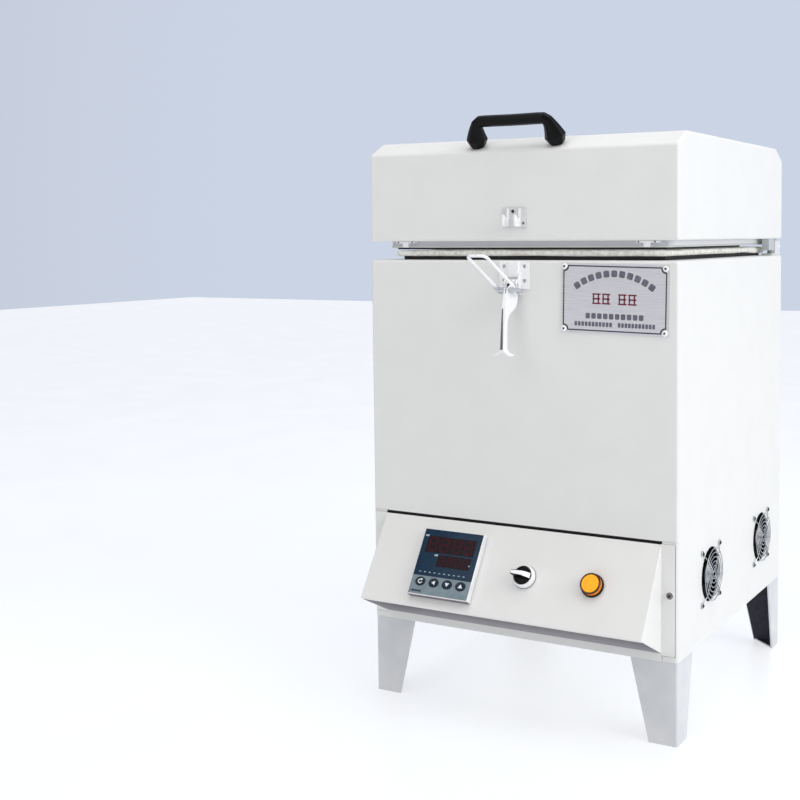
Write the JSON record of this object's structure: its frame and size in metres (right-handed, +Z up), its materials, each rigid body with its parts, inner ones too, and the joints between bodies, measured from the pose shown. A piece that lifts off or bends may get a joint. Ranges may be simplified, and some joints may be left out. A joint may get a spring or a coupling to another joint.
{
  "type": "pottery kiln",
  "caption": "Top-loading electric pottery kiln on sheet-steel legs, with hinged insulated lid, toggle latch, sloping control box, selector, lamp and side fans.",
  "frame": {"origin": "middle of the whole kiln's base, at floor level", "axes": "+Z up, +X to the right seen from the front, the front with its control box faces -Y"},
  "size_m": [0.4742, 0.5984, 0.8289],
  "materials": {
    "white_paint": "satin",
    "galvanised_sheet": "satin",
    "firebrick": "matte",
    "ceramic_fibre": "matte",
    "silicon_carbide": "matte",
    "porcelain": "satin",
    "zinc_plate": "satin",
    "chrome_plate": "polished",
    "black_plastic": "satin",
    "grey_plastic": "satin",
    "display_window": "gloss",
    "amber_lens": "gloss",
    "aluminium_sheet": "satin"
  },
  "bodies": {
    "cabinet": {"base_plate": "white_paint", "brick_back": "firebrick", "brick_floor": "firebrick", "brick_front": "firebrick", "brick_left": "firebrick", "brick_right": "firebrick", "cable_gland": "black_plastic", "control_box": "white_paint", "controller_face": "display_window", "controller_housing": "grey_plastic", "divider_shelf": "galvanised_sheet", "fan_frame_front": "black_plastic", "fan_frame_rear": "black_plastic", "fan_guard_front": "chrome_plate", "fan_guard_rear": "chrome_plate", "fibre_jacket": "ceramic_fibre", "fibre_seal": "ceramic_fibre", "front_panel": "white_paint", "heating_rod_1": "silicon_carbide", "heating_rod_2": "silicon_carbide", "heating_rod_3": "silicon_carbide", "heating_rod_4": "silicon_carbide", "hinge_bracket_left": "zinc_plate", "hinge_bracket_right": "zinc_plate", "hinge_pin_left": "zinc_plate", "hinge_pin_right": "zinc_plate", "lamp_base": "black_plastic", "lamp_lens": "amber_lens", "latch_base": "zinc_plate", "latch_pin": "zinc_plate", "leg_front_left": "white_paint", "leg_front_right": "white_paint", "leg_rear_left": "white_paint", "leg_rear_right": "white_paint", "nameplate": "aluminium_sheet", "power_regulator": "aluminium_sheet", "rear_cover": "white_paint", "selector_bezel": "chrome_plate", "side_panel_left": "white_paint", "side_panel_right": "white_paint", "terminal_block": "porcelain", "thermocouple": "porcelain", "top_rim": "white_paint"},
    "lid": {"lid_shell": "white_paint", "lid_lining": "ceramic_fibre", "lid_inner_frame": "galvanised_sheet", "lid_handle": "black_plastic", "latch_keeper": "zinc_plate", "hinge_leaf_left": "zinc_plate", "hinge_leaf_right": "zinc_plate"},
    "lever": {"latch_lever": "zinc_plate"},
    "bail": {"latch_bail": "zinc_plate"},
    "selector": {"selector_knob": "black_plastic"},
    "set_key": {"key_set": "black_plastic"},
    "left_key": {"key_left": "black_plastic"},
    "down_key": {"key_down": "black_plastic"},
    "up_key": {"key_up": "black_plastic"},
    "front_fan": {"fan_rotor_front": "black_plastic"},
    "rear_fan": {"fan_rotor_rear": "black_plastic"}
  },
  "joints": [
    {"name": "lid_hinge", "type": "hinge", "parent": "cabinet", "child": "lid", "pos_m": [-0.00215, 0.27221, 0.646], "axis": [-1, 0, 0], "range_deg": [0, 95]},
    {"name": "latch_lever_pivot", "type": "hinge", "parent": "cabinet", "child": "lever", "pos_m": [-0.00215, -0.20029, 0.602], "axis": [-1, 0, 0], "range_deg": [0, 60]},
    {"name": "latch_bail_swing", "type": "hinge", "parent": "lever", "child": "bail", "pos_m": [-0.00215, -0.21229, 0.594], "axis": [1, 0, 0], "range_deg": [-58, 75]},
    {"name": "selector_turn", "type": "hinge", "parent": "cabinet", "child": "selector", "pos_m": [0.02985, -0.23204, 0.21249], "axis": [0, 0.8414, -0.5404], "range_deg": [0, 90]},
    {"name": "set_key_press", "type": "slide", "parent": "cabinet", "child": "set_key", "axis": [0, 0.8414, -0.5404], "range_m": [0, 0.0008], "stiffness_N_per_m": 800},
    {"name": "left_key_press", "type": "slide", "parent": "cabinet", "child": "left_key", "axis": [0, 0.8414, -0.5404], "range_m": [0, 0.0008], "stiffness_N_per_m": 800},
    {"name": "down_key_press", "type": "slide", "parent": "cabinet", "child": "down_key", "axis": [0, 0.8414, -0.5404], "range_m": [0, 0.0008], "stiffness_N_per_m": 800},
    {"name": "up_key_press", "type": "slide", "parent": "cabinet", "child": "up_key", "axis": [0, 0.8414, -0.5404], "range_m": [0, 0.0008], "stiffness_N_per_m": 800},
    {"name": "front_fan_spin", "type": "hinge", "parent": "cabinet", "child": "front_fan", "pos_m": [0.21785, -0.06279, 0.199], "axis": [1, 0, 0], "continuous": true},
    {"name": "rear_fan_spin", "type": "hinge", "parent": "cabinet", "child": "rear_fan", "pos_m": [0.21785, 0.17221, 0.199], "axis": [1, 0, 0], "continuous": true}
  ]
}
